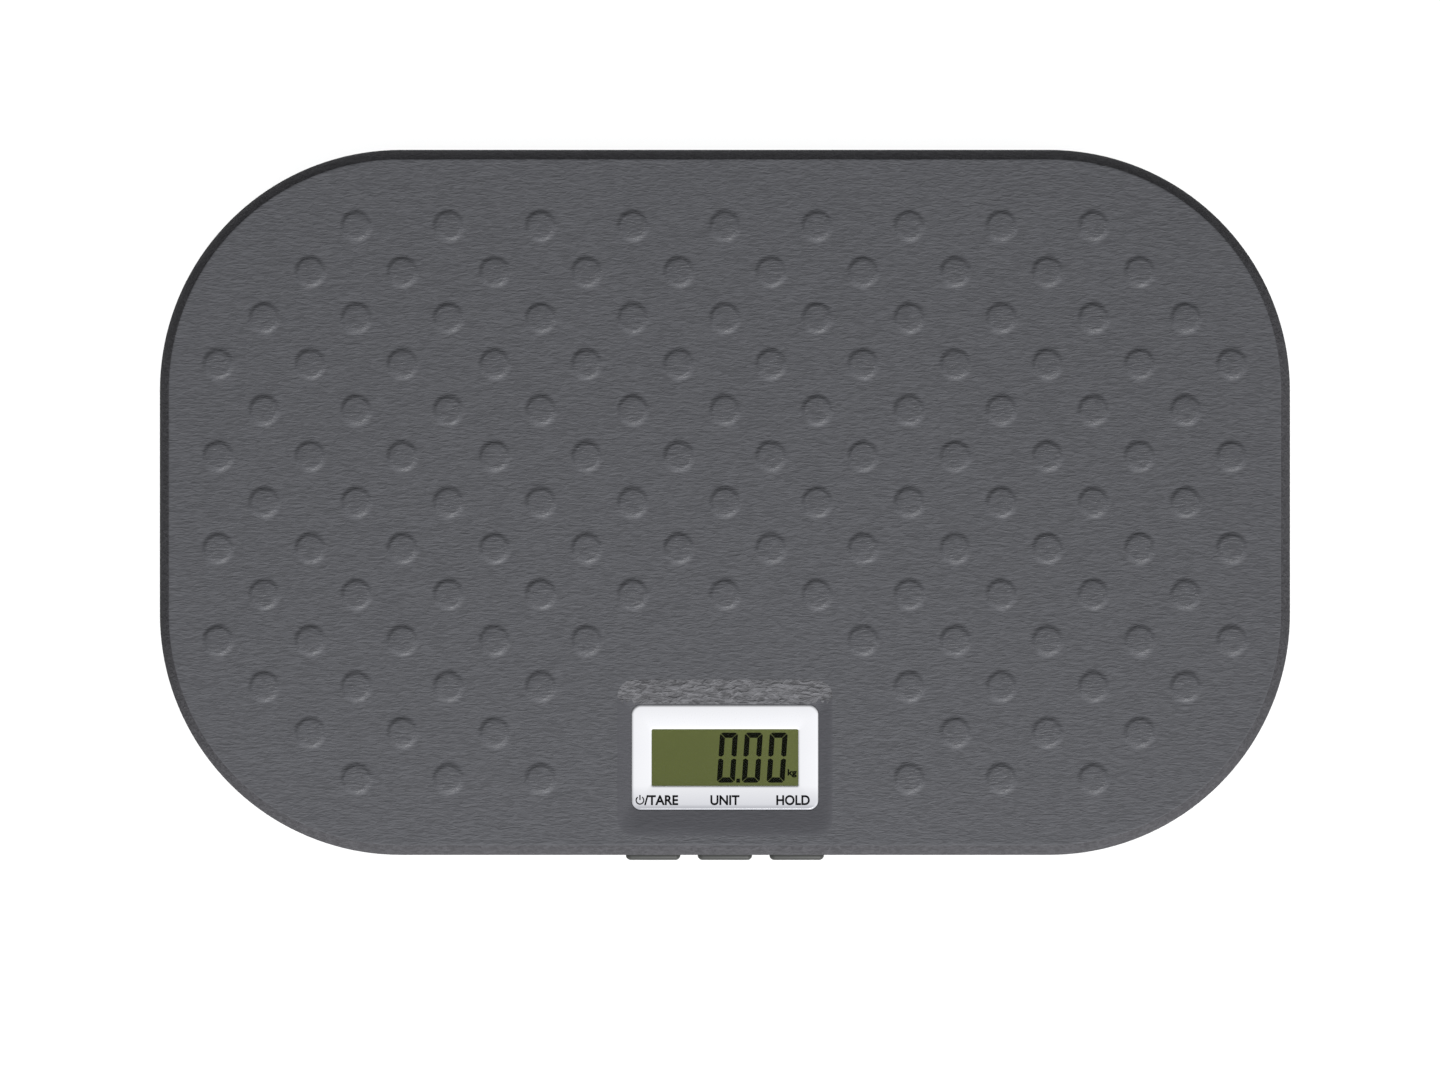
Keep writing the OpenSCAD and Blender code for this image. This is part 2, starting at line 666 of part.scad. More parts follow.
place() base_tray();
place() top_cover();
place() platform_mat();
place() display_gasket();
place() display_bezel();
place() display_lens();
place() lcd_panel();
place() zebra_strips();
place() lcd_backlight();
place() main_board();
place() board_components();
place() board_connectors();
place() buzzer();
place() key_board();
place() key_switches();
place() key_ribbon();
place() strain_gauges();
place() battery_cells();
place() battery_springs();
place() battery_contacts();
place() battery_wires();
place() battery_door();
place() door_foam();
place() housing_screws();
place() board_screws();
place() clamp_screws();
for (k = KEYS) {
    place() at_key(k) key_cap();
    place() at_key(k) plunger();
}
for (c = CORNERS) {
    place() at_foot(c) foot_pad();
    place() at_foot(c) foot_cup();
    place() at_foot(c) foot_clip();
    place() at_foot(c) load_cell(c);
    place() at_foot(c) cell_clamp();
    place() cell_wire(c);
}
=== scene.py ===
"""Looks of the platform animal weighing scale, in metres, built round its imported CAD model.

The mat, the bezel and the key caps are new meshes that stand for plainer CAD nodes. The digits and the
key names are thin raised prints. Every other node keeps its CAD shape and gets a material.
"""

import math

import bmesh
import bpy
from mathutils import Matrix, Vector
from mathutils.geometry import delaunay_2d_cdt


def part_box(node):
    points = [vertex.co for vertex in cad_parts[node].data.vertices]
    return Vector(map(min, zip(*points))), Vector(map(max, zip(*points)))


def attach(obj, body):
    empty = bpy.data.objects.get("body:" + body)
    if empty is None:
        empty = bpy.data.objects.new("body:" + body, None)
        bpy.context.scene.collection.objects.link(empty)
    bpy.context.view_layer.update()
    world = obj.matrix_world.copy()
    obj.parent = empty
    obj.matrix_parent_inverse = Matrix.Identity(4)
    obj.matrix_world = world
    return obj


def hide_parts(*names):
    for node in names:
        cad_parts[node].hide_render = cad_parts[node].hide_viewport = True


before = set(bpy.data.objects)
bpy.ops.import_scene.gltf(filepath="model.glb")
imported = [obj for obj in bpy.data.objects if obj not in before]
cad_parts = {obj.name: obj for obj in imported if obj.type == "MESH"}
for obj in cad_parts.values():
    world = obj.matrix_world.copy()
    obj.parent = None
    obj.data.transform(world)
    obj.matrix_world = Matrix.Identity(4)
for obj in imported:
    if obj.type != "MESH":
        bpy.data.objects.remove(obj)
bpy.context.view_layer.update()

MM = 0.001

# Mat, in mm. Its nubs follow the CAD model's rule, up to NUB_REACH rows and columns from the middle
CORNER_R = 98.0
RIM_W = 4.2
RIM_H = 8.0
LIP_H = 0.8
LIP_W = 5.8
NUB_H = 0.8
NUB_R = 7.3
NUB_EASE = 2.8
NUB_PITCH = 37.4
NUB_EDGE_GAP = 16.0
NUB_DISPLAY_GAP = 21.0
NUB_REACH = 8
COVER_DROP = 3.0
RECESS_W = 85.5
RECESS_D = 60.0
RECESS_R = 6.5
RECESS_FOOT = 1.4
BEZEL_GAP = 0.12

# Bezel and window, in mm. The hood is what lies under the bezel's flange, and its pocket holds the panel
BEZEL_R = 4.0
BEZEL_EDGE_R = 1.2
HOOD_H = 6.3
POCKET_W = 68.4
POCKET_D = 32.4
WINDOW_W = 59.5
WINDOW_D = 23.0
WINDOW_R = 0.6

# Keys, in mm. A flange behind the front wall keeps each cap in. FLANGE_Y is from the cap's face to it
CAP_R = 2.3
CAP_EDGE_R = 2.0
FLANGE_Y = 4.7
FLANGE_T = 1.2

# Thickness of the digits and the lettering, in mm
PRINT_T = 0.03

# Radius of the floor, in mm
FLOOR_R = 200000

# Both suns come from the front, a little to the right. Angles are in degrees
SKY_STRENGTH = 0.33
KEY_ENERGY = 5.6
KEY_SOFTNESS = 24
FLOOR_ENERGY = 6.6
FLOOR_SOFTNESS = 90
SUN_AZIMUTH = 16
SUN_ELEVATION = 36

# A low strip light in front brightens the front of the mat. Its place is in metres
STRIP_ENERGY = 0.7
STRIP_PLACE = (0, -0.30, 0.30)

# The camera looks straight down. All are in metres, and its place is counted from the mat's middle
VIEW_WIDTH = 0.5862
VIEW_DISTANCE = 3.0
CAMERA_PLACE = (-0.0020, -0.0153, 3.0305)


def node_box(name):
    """A CAD node's lowest and highest corner and its centre, in mm."""
    low, high = (Vector(corner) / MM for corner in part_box(name))
    return low, high, (low + high) / 2


# ------------------------------------------------------------------ mesh helpers


def rounded_rect(width, depth, radius, steps=12):
    """Points round a rounded rectangle centred on the origin, counter-clockwise from the right side."""
    points = []
    for quarter, (sx, sy) in enumerate(((1, 1), (-1, 1), (-1, -1), (1, -1))):
        for i in range(steps + 1):
            angle = math.pi / 2 * (quarter + i / steps)
            points.append(
                (
                    sx * (width / 2 - radius) + radius * math.cos(angle),
                    sy * (depth / 2 - radius) + radius * math.sin(angle),
                )
            )
    return points


def circle(radius, steps):
    """Points round a circle centred on the origin."""
    return [
        (radius * math.cos(2 * math.pi * i / steps), radius * math.sin(2 * math.pi * i / steps))
        for i in range(steps)
    ]


class Shell:
    """Rings of points in mm, and the faces between them, gathered into one mesh."""

    def __init__(self, centre=(0, 0, 0), upright=False):
        self.centre = centre
        self.upright = upright
        self.points = []
        self.faces = []
        self.finishes = []
        self.finish = 0

    def face(self, corners):
        """Adds one face in the finish that is set."""
        self.faces.append(tuple(corners))
        self.finishes.append(self.finish)

    def point(self, a, b, level):
        """Adds one point. An upright shell's rings stand in XZ, and its levels run along Y."""
        x, y, z = (a, level, b) if self.upright else (a, b, level)
        cx, cy, cz = self.centre
        self.points.append(((cx + x) * MM, (cy + y) * MM, (cz + z) * MM))
        return len(self.points) - 1

    def ring(self, loop, level, shift=(0, 0)):
        """Adds a loop of points at a level."""
        return [self.point(a + shift[0], b + shift[1], level) for a, b in loop]

    def band(self, low, high):
        """Joins two rings of the same number of points."""
        for i in range(len(low)):
            j = (i + 1) % len(low)
            self.face((low[i], low[j], high[j], high[i]))

    def stack(self, rings):
        """Joins each ring to the next."""
        for low, high in zip(rings, rings[1:]):
            self.band(low, high)

    def cap(self, ring):
        self.face(ring)

    def fan(self, ring, tip):
        """Joins a ring to one point."""
        for i in range(len(ring)):
            self.face((ring[i], ring[(i + 1) % len(ring)], tip))

    def fill(self, outer, holes):
        """Triangles over the flat area between a convex outer ring and convex holes."""
        rings = [outer, *holes]
        ids = [i for ring in rings for i in ring]
        owner = {i: n for n, ring in enumerate(rings) for i in ring}
        place = {point: n for n, point in enumerate(ids)}
        flat = [Vector(self.points[i][:2]) / MM for i in ids]
        edges = [
            (place[ring[k]], place[ring[(k + 1) % len(ring)]]) for ring in rings for k in range(len(ring))
        ]
        _, _, triangles, source, _, _ = delaunay_2d_cdt(flat, edges, [], 0, 1e-6)
        for triangle in triangles:
            corners = tuple(ids[source[v][0]] for v in triangle)
            rings_met = {owner[c] for c in corners}
            if len(rings_met) > 1 or rings_met == {0}:
                self.face(corners)

    def build(self, name, materials, body, sharp=32):
        """Makes the piece, smooth but for edges sharper than an angle in degrees."""
        mesh = bpy.data.meshes.new(name)
        mesh.from_pydata(self.points, [], self.faces)
        mesh.polygons.foreach_set("material_index", self.finishes)
        bm = bmesh.new()
        bm.from_mesh(mesh)
        bmesh.ops.recalc_face_normals(bm, faces=bm.faces)
        bm.to_mesh(mesh)
        bm.free()
        mesh.shade_smooth()
        mesh.set_sharp_from_angle(angle=math.radians(sharp))
        for material in materials:
            mesh.materials.append(material)
        piece = bpy.data.objects.new(name, mesh)
        bpy.context.scene.collection.objects.link(piece)
        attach(piece, body)
        return piece


def arc(radius, steps=5):
    """(inset, drop) pairs down a quarter-round edge, from the side face to the top face."""
    angles = [math.pi / 2 * i / steps for i in range(steps + 1)]
    return [(radius * (1 - math.cos(a)), radius * (1 - math.sin(a))) for a in angles]


# ------------------------------------------------------------------ materials


class Surface:
    """A procedural material on one Principled shader, in object coordinates."""

    def __init__(self, name, roughness, metallic=0.0, **sockets):
        self.material = bpy.data.materials.new(name)
        self.material.use_nodes = True
        self.tree = self.material.node_tree
        self.shader = self.tree.nodes["Principled BSDF"]
        self.shader.inputs["Roughness"].default_value = roughness
        self.shader.inputs["Metallic"].default_value = metallic
        for socket, value in sockets.items():
            self.shader.inputs[socket.replace("_", " ")].default_value = value
        self.coordinates = self.node("ShaderNodeTexCoord").outputs["Object"]

    def node(self, kind, **settings):
        made = self.tree.nodes.new(kind)
        for key, value in settings.items():
            setattr(made, key, value)
        return made

    def link(self, source, target):
        self.tree.links.new(source, target)

    def noise(self, scale, detail=3.0, stretch=(1, 1, 1), distortion=0.0):
        """Noise with features about 1 / scale metres across, squeezed along each axis by stretch."""
        mapping = self.node("ShaderNodeMapping")
        mapping.inputs["Scale"].default_value = stretch
        self.link(self.coordinates, mapping.inputs["Vector"])
        noise = self.node("ShaderNodeTexNoise")
        noise.inputs["Scale"].default_value = scale
        noise.inputs["Detail"].default_value = detail
        noise.inputs["Distortion"].default_value = distortion
        self.link(mapping.outputs["Vector"], noise.inputs["Vector"])
        return noise.outputs["Fac"]

    def cells(self, scale, stretch=(1, 1, 1)):
        """Voronoi cells, as the distance to their edges."""
        mapping = self.node("ShaderNodeMapping")
        mapping.inputs["Scale"].default_value = stretch
        self.link(self.coordinates, mapping.inputs["Vector"])
        cells = self.node("ShaderNodeTexVoronoi", feature="DISTANCE_TO_EDGE")
        cells.inputs["Scale"].default_value = scale
        self.link(mapping.outputs["Vector"], cells.inputs["Vector"])
        return cells.outputs["Distance"]

    def remap(self, value, low, high, from_low=0.0, from_high=1.0):
        """The value, taken from one range to another and held inside it."""
        remap = self.node("ShaderNodeMapRange")
        for socket, number in (
            ("From Min", from_low),
            ("From Max", from_high),
            ("To Min", low),
            ("To Max", high),
        ):
            remap.inputs[socket].default_value = number
        self.link(value, remap.inputs["Value"])
        return remap.outputs["Result"]

    def axis(self, letter):
        """One object coordinate, in metres."""
        split = self.node("ShaderNodeSeparateXYZ")
        self.link(self.coordinates, split.inputs["Vector"])
        return split.outputs[letter]

    def mix(self, factor, a, b):
        """A colour between a and b, each a tuple or an output."""
        mixer = self.node("ShaderNodeMix", data_type="RGBA")
        self.link(factor, mixer.inputs["Factor"])
        for socket, value in ((mixer.inputs[6], a), (mixer.inputs[7], b)):
            if isinstance(value, tuple):
                socket.default_value = (*value, 1.0)
            else:
                self.link(value, socket)
        return mixer.outputs[2]

    def colour(self, output):
        self.link(output, self.shader.inputs["Base Color"])

    def roughness(self, output):
        self.link(output, self.shader.inputs["Roughness"])

    def clear_from_behind(self):
        """Lets a view from behind the surface through."""
        mixer = self.node("ShaderNodeMixShader")
        behind = self.node("ShaderNodeNewGeometry").outputs["Backfacing"]
        self.link(behind, mixer.inputs[0])
        self.link(self.shader.outputs["BSDF"], mixer.inputs[1])
        self.link(self.node("ShaderNodeBsdfTransparent").outputs["BSDF"], mixer.inputs[2])
        self.link(mixer.outputs["Shader"], self.tree.nodes["Material Output"].inputs["Surface"])

    def bump(self, height, depth, strength=1.0, under=None):
        """Bump of a height of 0 to 1 over a depth in metres, on top of another bump if one is given."""
        bump = self.node("ShaderNodeBump")
        bump.inputs["Distance"].default_value = depth
        bump.inputs["Strength"].default_value = strength
        self.link(height, bump.inputs["Height"])
        if under:
            self.link(under, bump.inputs["Normal"])
        self.link(bump.outputs["Normal"], self.shader.inputs["Normal"])
        return bump.outputs["Normal"]


def shade(colour, factor):
    """The colour, darker or lighter by a factor."""
    return tuple(c * factor for c in colour)


def moulded(name, colour, roughness=0.5, grain=2200, depth=0.00004, vary=0.06, **sockets):
    """Moulded plastic: fine spark-eroded grain, faint flow marks and uneven gloss."""
    s = Surface(name, roughness, **sockets)
    flow = s.noise(35, 2.0, (1, 1.6, 1))
    s.colour(s.mix(flow, shade(colour, 1 - vary), shade(colour, 1 + vary)))
    fine = s.noise(grain, 2.0)
    s.roughness(s.remap(fine, roughness - 0.06, roughness + 0.06))
    s.bump(fine, depth)
    return s.material


def rubber(name, colour, roughness=0.75, grain=1500):
    """Moulded rubber with a dusty bloom."""
    s = Surface(name, roughness)
    bloom = s.noise(90, 4.0)
    s.colour(s.mix(s.remap(bloom, 0, 1, 0.35, 0.75), colour, shade(colour, 1.35)))
    s.bump(s.noise(grain, 3.0), 0.00005)
    return s.material


def metal(name, colour, roughness=0.35, brush=(1, 14, 1)):
    """Rolled or plated metal with fine lines along one axis."""
    s = Surface(name, roughness, 1.0)
    lines = s.noise(500, 3.0, brush)
    s.colour(s.mix(lines, shade(colour, 0.9), colour))
    s.roughness(s.remap(lines, roughness - 0.08, roughness + 0.12))
    s.bump(lines, 0.000008)
    return s.material


def mat_rubber(name, colour, specular, relief, deck, grain=(1, 4.2, 2.5)):
    """Embossed leather grain: short wrinkles across the mat over fine pebbles, with painted shade in the
    creases and painted light on their ridges.

    What stands above the deck's height in mm, the sides and tops of the nubs, is rubbed smoother.
    """
    s = Surface(name, 0.62, Specular_IOR_Level=specular)
    wrinkle = s.noise(280, 2.5, grain, 0.7)
    swell = s.noise(110, 2.0, (1, 1.8, 1.0))
    pebble = s.cells(1100, (1, 1.7, 1.4))
    # The colour is painted shade in the wrinkles' creases and painted light on their ridges, by an amount
    # that grows with the relief
    crease = 0.14 * relief
    depth = s.remap(wrinkle, 0, 1, 0.36, 0.66)
    s.colour(s.mix(depth, shade(colour, 1 - crease), shade(colour, 1 + 0.7 * crease)))
    grained = s.remap(wrinkle, 0.55, 0.70, 0.3, 0.7)
    rubbed = s.remap(s.axis("Z"), 0, 1, (deck + 0.05) * MM, (deck + 0.3) * MM)
    s.roughness(s.mix(rubbed, grained, (0.35, 0.35, 0.35)))
    coarse = s.bump(wrinkle, 0.00037 * relief)
    broad = s.bump(swell, 0.0002 * relief, 1.0, coarse)
    s.bump(pebble, 0.00008 * relief, 0.8, broad)
    return s.material


def liquid_crystal():
    """Olive reflective panel, a little lighter to the right behind the digits."""
    s = Surface("liquid_crystal", 0.35)
    side = s.remap(s.axis("X"), 0, 1, -0.01, 0.03)
    s.colour(s.mix(side, (0.086, 0.101, 0.024), (0.102, 0.118, 0.031)))
    s.bump(s.noise(1800, 2.0), 0.00001)
    return s.material


def clear_plastic():
    """Clear window, faintly smoked, with fine scuffs in its gloss."""
    s = Surface("clear_acrylic", 0.08, Alpha=0.08, IOR=1.49)
    scuff = s.noise(700, 4.0, (1, 3, 1))
    s.colour(s.mix(scuff, (0.010, 0.012, 0.008), (0.020, 0.022, 0.018)))
    s.roughness(s.remap(scuff, 0.05, 0.14))
    return s.material


def white_plastic(front, window):
    """Glossy white bezel with painted shade: it greys from the window towards its front edge, most of all on
    the edge.
    """
    s = Surface("bezel_white", 0.28)
    y = s.axis("Y")
    flow = s.noise(60, 2.0, (1, 1.6, 1))
    white = s.mix(flow, (0.670, 0.672, 0.695), (0.690, 0.692, 0.715))
    # Painted shade: grey from the window to the front edge, and darker still over the last 2.4 mm of that
    # edge
    white_with_painted_shade = s.mix(s.remap(y, 0, 1, window * MM, front * MM), white, (0.43, 0.435, 0.465))
    s.colour(s.mix(s.remap(y, 0, 1, (front + 2.4) * MM, front * MM), white_with_painted_shade, (0.213, 0.218, 0.239)))
    fine = s.noise(1600, 2.0)
    s.roughness(s.remap(fine, 0.24, 0.33))
    s.bump(fine, 0.00001)
    return s.material


def printed_can():
    """Generic cell wrap: a dark band at one end and a warm metallic body."""
    s = Surface("cell_wrap", 0.3, 0.6)
    dark = s.remap(s.axis("X"), 0, 1, -0.0071, -0.0069)
    tone = s.mix(s.noise(300, 2.0), (0.55, 0.37, 0.10), (0.62, 0.43, 0.14))
    s.colour(s.mix(dark, (0.03, 0.03, 0.03), tone))
    return s.material


def circuit_board():
    """Solder mask with faint copper tracks under it."""
    s = Surface("circuit_board", 0.35)
    tracks = s.remap(s.cells(260, (1, 1, 0.01)), 0, 1, 0.05, 0.08)
    s.colour(s.mix(tracks, (0.03, 0.16, 0.05), (0.015, 0.09, 0.03)))
    s.bump(tracks, 0.00002)
    return s.material


# ------------------------------------------------------------------ mat


def edge_distance(x, y, width, depth):
    """Distance of a point of the deck from the outline, up to the corner radius."""
    return CORNER_R - math.hypot(
        max(abs(x) - width / 2 + CORNER_R, 0), max(abs(y) - depth / 2 + CORNER_R, 0)
    )


def recess_distance(x, y, display):
    """Distance of a point of the deck from the display's recess."""
    return math.hypot(
        max(abs(x - display[0]) - RECESS_W / 2, 0), max(abs(y - display[1]) - RECESS_D / 2, 0)
    )


def nub_places(width, depth, display):
    """Rows of nubs, each shifted by half a pitch, wherever the rim and the display leave room."""
    places = []
    for row in range(-NUB_REACH, NUB_REACH + 1):
        for column in range(-NUB_REACH, NUB_REACH + 1):
            x = (column + row % 2 / 2) * NUB_PITCH
            y = row * NUB_PITCH / 2
            clear_of_rim = edge_distance(x, y, width, depth) >= NUB_EDGE_GAP
            if clear_of_rim and recess_distance(x, y, display) >= NUB_DISPLAY_GAP:
                places.append((x, y))
    return places


def add_rim(shell, width, depth, foot, deck):
    """The lip over the cover's edge, then a slightly bulging bevel up to a crisp crease."""
    lip = foot + LIP_H
    rim = [(LIP_W, deck - COVER_DROP), (LIP_W, foot), (0.35, foot), (0.1, foot + 0.1), (0, foot + 0.35)]
    for i in range(9):
        t = i / 8 * 0.96
        bulge = 0.45 * math.sin(math.pi * t)
        rim.append((RIM_W * t - bulge * 0.88 + 0.02, lip + RIM_H * t + bulge * 0.3))
    rim += [(RIM_W + 0.05, deck - 0.06), (RIM_W + 0.5, deck), (RIM_W + 1.1, deck)]
    rings = []
    for inset, z in rim:
        loop = rounded_rect(width - 2 * inset, depth - 2 * inset, CORNER_R - inset, 40)
        rings.append(shell.ring(loop, z))
    # The lip and the bevel take the darker edge rubber, which is painted shade
    shell.finish = 1
    shell.stack(rings[:-2])
    shell.finish = 0
    shell.stack(rings[-3:])
    return rings[0], rings[-1]


def add_nubs(shell, places, deck):
    """Flat-topped nubs, with sides that ease out of the deck and into the top."""
    steps = [i / 9 for i in range(10)]
    profile = [(NUB_R - NUB_EASE * t, NUB_H * (t * t * (3 - 2 * t)) ** 1.3) for t in steps]
    profile = [(NUB_R + 0.5, 0), *profile, (2.0, NUB_H)]
    feet = []
    for x, y in places:
        rings = [shell.ring(circle(r, 36), deck + h, (x, y)) for r, h in profile]
        shell.stack(rings)
        shell.fan(rings[-1], shell.point(x, y, deck + NUB_H))
        feet.append(rings[0])
    return feet


def add_recess(shell, display, hole_w, hole_d, rear, deck):
    """Walls that slope down to the bezel, with rounded edges. Those behind the rear line are coarser and
    lighter, which is painted light.
    """
    slope = [(-0.2, 0), (-0.05, 0), (0.02, 0.1)]
    slope += [(t, t * (COVER_DROP - RECESS_FOOT)) for t in (0.1, 0.3, 0.6, 0.9, 1.0)]
    slope += [(1.0, COVER_DROP)]
    rings = []
    for t, drop in slope:
        loop = rounded_rect(
            RECESS_W + (hole_w - RECESS_W) * t,
            RECESS_D + (hole_d - RECESS_D) * t,
            RECESS_R + (BEZEL_R + BEZEL_GAP - RECESS_R) * t,
        )
        rings.append(shell.ring(loop, deck - drop, display))
    # The walls take the darker recess rubber, which is painted shade
    shell.finish = 2
    first = len(shell.faces)
    shell.stack(rings)
    # Walls behind the rear line take the lighter rear recess rubber, which is painted light
    for i, face in enumerate(shell.faces[first:], first):
        if all(shell.points[corner][1] > rear * MM for corner in face):
            shell.finishes[i] = 3
    return rings[0], rings[-1]


def make_mat():
    """The rubber mat with its nubs and the display's recess, as one closed mesh."""
    low, high, centre = node_box("platform_mat")
    width, depth = high.x - low.x, high.y - low.y
    deck = high.z - NUB_H
    bezel_low, bezel_high, bezel = node_box("display_bezel")
    display = (bezel.x - centre.x, bezel.y - centre.y)
    hole_w = bezel_high.x - bezel_low.x + 2 * BEZEL_GAP
    hole_d = bezel_high.y - bezel_low.y + 2 * BEZEL_GAP

    shell = Shell((centre.x, centre.y, 0))
    rim_foot, rim_top = add_rim(shell, width, depth, low.z, deck)
    nubs = add_nubs(shell, nub_places(width, depth, display), deck)
    recess_top, recess_foot = add_recess(shell, display, hole_w, hole_d, bezel_high.y, deck)
    shell.finish = 0
    shell.fill(rim_top, [recess_top, *nubs])
    shell.fill(rim_foot, [recess_foot])

    # In the order of the finishes 0 to 3. The edge and recess rubbers are darker copies of the deck's,
    # painted shade, and the rear recess rubber a lighter copy, painted light
    materials = [
        mat_rubber("mat_rubber", (0.0677, 0.0687, 0.0749), 0.09, 1.0, deck),
        mat_rubber("mat_edge_painted_shade", (0.050, 0.0495, 0.0535), 0.02, 1.6, deck, (1.5, 2.8, 1.9)),
        mat_rubber("mat_recess", (0.060, 0.0605, 0.067), 0.09, 0.4, deck),
        mat_rubber("mat_recess_rear_painted_light", (0.090, 0.090, 0.096), 0.09, 2.7, deck, (1, 2.6, 2.5)),
    ]
    piece = shell.build("mat_skin", materials, "housing", 40)
    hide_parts("platform_mat")
    return piece


# ------------------------------------------------------------------ display


def make_bezel():
    """The display's white frame, with rounded edges and a ledge on which the lens lies."""
    low, high, centre = node_box("display_bezel")
    window = node_box("lcd_panel")[2].y - WINDOW_D / 2
    material = white_plastic(low.y, window)
    lens = node_box("display_lens")
    width, depth = high.x - low.x, high.y - low.y
    face = low.z + HOOD_H
    hood_w, hood_d = width - 4, depth - 5
    shell = Shell((centre.x, centre.y, 0))
    rings = [
        shell.ring(rounded_rect(WINDOW_W + 4, WINDOW_D + 4, 0.5), lens[1].z),
        shell.ring(rounded_rect(WINDOW_W + 4, WINDOW_D + 4, 0.5), lens[0].z),
        shell.ring(rounded_rect(POCKET_W, POCKET_D, 0.5), lens[0].z),
        shell.ring(rounded_rect(POCKET_W, POCKET_D, 0.5), low.z),
        shell.ring(rounded_rect(hood_w, hood_d, 2), low.z),
        shell.ring(rounded_rect(hood_w, hood_d, 2), face),
        shell.ring(rounded_rect(width, depth, BEZEL_R), face),
    ]
    for inset, drop in arc(BEZEL_EDGE_R, 6):
        loop = rounded_rect(width - 2 * inset, depth - 2 * inset, BEZEL_R - inset)
        rings.append(shell.ring(loop, high.z - drop))
    for grow, drop in ((1.0, 0), (0.55, 0.06), (0.2, 0.25), (0.0, 0.6)):
        loop = rounded_rect(WINDOW_W + 2 * grow, WINDOW_D + 2 * grow, WINDOW_R + grow)
        rings.append(shell.ring(loop, high.z - drop))
    rings.append(shell.ring(rounded_rect(WINDOW_W, WINDOW_D, WINDOW_R), lens[1].z))
    shell.stack(rings)
    shell.band(rings[-1], rings[0])
    piece = shell.build("bezel_frame", [material], "housing", 40)
    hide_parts("display_bezel")
    return piece


def print_polygons(name, polygons, z, material):
    """Flat polygons in mm, made into thin closed prints that lie at height z."""
    shell = Shell()
    for polygon in polygons:
        low = shell.ring(polygon, z)
        high = shell.ring(polygon, z + PRINT_T)
        shell.band(low, high)
        shell.cap(low)
        shell.cap(high)
    piece = shell.build(name, [material], "housing", 20)


def print_text(name, words, size, width, place, z, material, bold):
    """Words in Blender's own font, scaled to a width in mm, centred on a place and thickened by bold."""
    curve = bpy.data.curves.new(name, "FONT")
    curve.body = words
    curve.size = size * MM
    curve.align_x = "CENTER"
    curve.extrude = PRINT_T / 2 * MM
    curve.offset = bold * MM
    text = bpy.data.objects.new(name, curve)
    bpy.context.scene.collection.objects.link(text)
    bpy.context.view_layer.update()
    text.scale.x = width * MM / text.dimensions.x
    text.location = (place[0] * MM, place[1] * MM, (z + PRINT_T / 2) * MM)
    curve.materials.append(material)
    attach(text, "housing")


def seven_segment_zero(x, y, width=7.3, height=20.3, stroke=2.1, lean=0.066):
    """The six lit bars of a 0, leaning to the right, from its lower left corner."""
    gap = 0.14
    middle = height / 2
    half = [
        [(0, height - 1.0), (0.35, height - 0.6), (stroke, height - stroke - gap)],
        [(0.5, height - 0.4), (1.1, height), (width - 1.1, height), (width - 0.5, height - 0.4)],
    ]
    side = half[0] + [(stroke, middle + 1.1), (stroke / 2, middle + 0.35), (0, middle + 0.8)]
    bar = half[1] + [(width - stroke - gap, height - stroke), (stroke + gap, height - stroke)]
    bars = []
    for polygon in (side, [(width - a, b) for a, b in side], bar):
        bars.append(polygon)
        bars.append([(a, height - b) for a, b in polygon])
    return [[(x + a + b * lean, y + b) for a, b in polygon] for polygon in bars]


def make_prints(ink, crystal_ink):
    """The digits and the unit on the panel, and the names of the keys on the bezel."""
    _, bezel_high, bezel = node_box("display_bezel")
    _, panel_high, window = node_box("lcd_panel")
    panel = panel_high.z + 0.01
    foot = window.y - 10.3
    digits = []
    for x in (-3.3, 6.8, 16.9):
        digits += seven_segment_zero(window.x + x, foot)
    point = window.x + 4.6
    digits.append([(point + a, foot + b) for a, b in ((0, 0), (1.5, 0), (1.6, 1.6), (0.1, 1.6))])
    print_polygons("display_digits", digits, panel, crystal_ink)
    print_text("display_unit", "kg", 3.4, 3.7, (window.x + 27.2, window.y - 7.3), panel, crystal_ink, 0.13)

    # Names of the keys, printed on the bezel
    row = bezel.y - 19.2
    top = bezel_high.z
    for name, words, width, x in (
        ("name_tare", "/TARE", 13.8, -25.8),
        ("name_unit", "UNIT", 11.8, -0.1),
        ("name_hold", "HOLD", 13.6, 27.6),
    ):
        print_text(name, words, 5.4, width, (bezel.x + x, row), top, ink, 0.155)
    print_polygons("power_mark", power_symbol(bezel.x - 34.5, row + 1.8), top, ink)


def power_symbol(x, y, radius=1.8, stroke=0.5, opening=35, steps=28):
    """A ring that is open at its top, in four-sided pieces, and the bar in its opening."""
    start = math.radians(90 + opening)
    span = math.radians(360 - 2 * opening)
    spokes = []
    for i in range(steps + 1):
        angle = start + span * i / steps
        spokes.append([(x + r * math.cos(angle), y + r * math.sin(angle)) for r in (radius, radius - stroke)])
    pieces = [[p[0], q[0], q[1], p[1]] for p, q in zip(spokes, spokes[1:])]
    half = stroke / 2
    foot, tip = y + 0.1, y + 1.2 * radius
    pieces.append([(x - half, foot), (x + half, foot), (x + half, tip), (x - half, tip)])
    return pieces


# ------------------------------------------------------------------ keys


